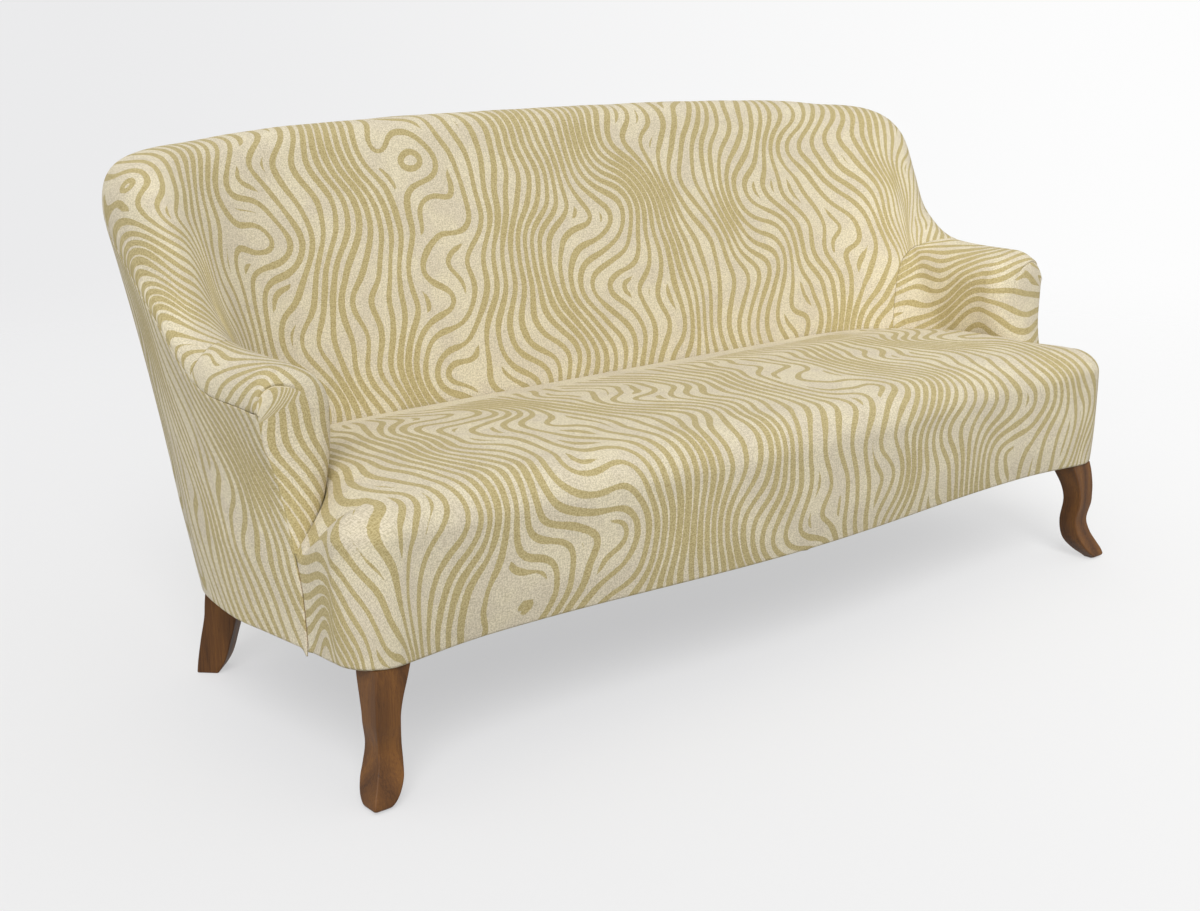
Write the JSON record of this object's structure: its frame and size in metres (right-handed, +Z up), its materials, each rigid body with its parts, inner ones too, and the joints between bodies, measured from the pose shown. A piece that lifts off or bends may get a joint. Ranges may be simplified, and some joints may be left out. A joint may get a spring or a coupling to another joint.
{
  "type": "sofa",
  "caption": "Cabriole sofa with a tight serpentine seat, a raked tight back running round into low rolled arms, and shaped wooden legs.",
  "frame": {"origin": "on the floor, at mid-width and mid-depth of the whole sofa", "axes": "+X to the sitter's left, along the width, +Y towards the rear, +Z up; the sofa faces -Y"},
  "size_m": [1.6772, 0.7295, 0.833],
  "materials": {
    "cover_cloth": "oatmeal linen weave with flowing ochre lines",
    "foam": "cream upholstery foam",
    "hessian": "brown woven jute",
    "dust_cloth": "black lining cloth",
    "oak": "satin mid-brown stained oak",
    "beech": "raw sawn beech",
    "plywood": "raw bent plywood",
    "spring_steel": "plain oiled steel"
  },
  "bodies": {
    "root": {"front_seat_rail": "beech", "back_seat_rail": "beech", "side_seat_rail_left": "beech", "side_seat_rail_right": "beech", "seat_cross_rail_left": "beech", "seat_cross_rail_right": "beech", "front_corner_block_left": "beech", "front_corner_block_right": "beech", "rear_corner_block_left": "beech", "rear_corner_block_right": "beech", "back_post_left": "beech", "back_post_right": "beech", "back_top_rail": "beech", "back_lower_rail": "beech", "back_upright_left": "beech", "back_upright_right": "beech", "arm_post_left": "beech", "arm_post_right": "beech", "arm_top_rail_left": "beech", "arm_top_rail_right": "beech", "arm_lower_rail_left": "beech", "arm_lower_rail_right": "beech", "arm_panel_left": "plywood", "arm_panel_right": "plywood", "seat_springs": "spring_steel", "spring_clips": "spring_steel", "seat_platform": "hessian", "back_webbing": "hessian", "seat_foam": "foam", "back_foam": "foam", "arm_foam_left": "foam", "arm_foam_right": "foam", "seat_cover": "cover_cloth", "inside_back_cover": "cover_cloth", "inside_arm_cover_left": "cover_cloth", "inside_arm_cover_right": "cover_cloth", "outside_arm_cover_left": "cover_cloth", "outside_arm_cover_right": "cover_cloth", "outside_back_cover": "cover_cloth", "dust_cover": "dust_cloth", "front_leg_left": "oak", "front_leg_right": "oak", "rear_leg_left": "oak", "rear_leg_right": "oak", "leg_bolts": "spring_steel"}
  },
  "joints": []
}
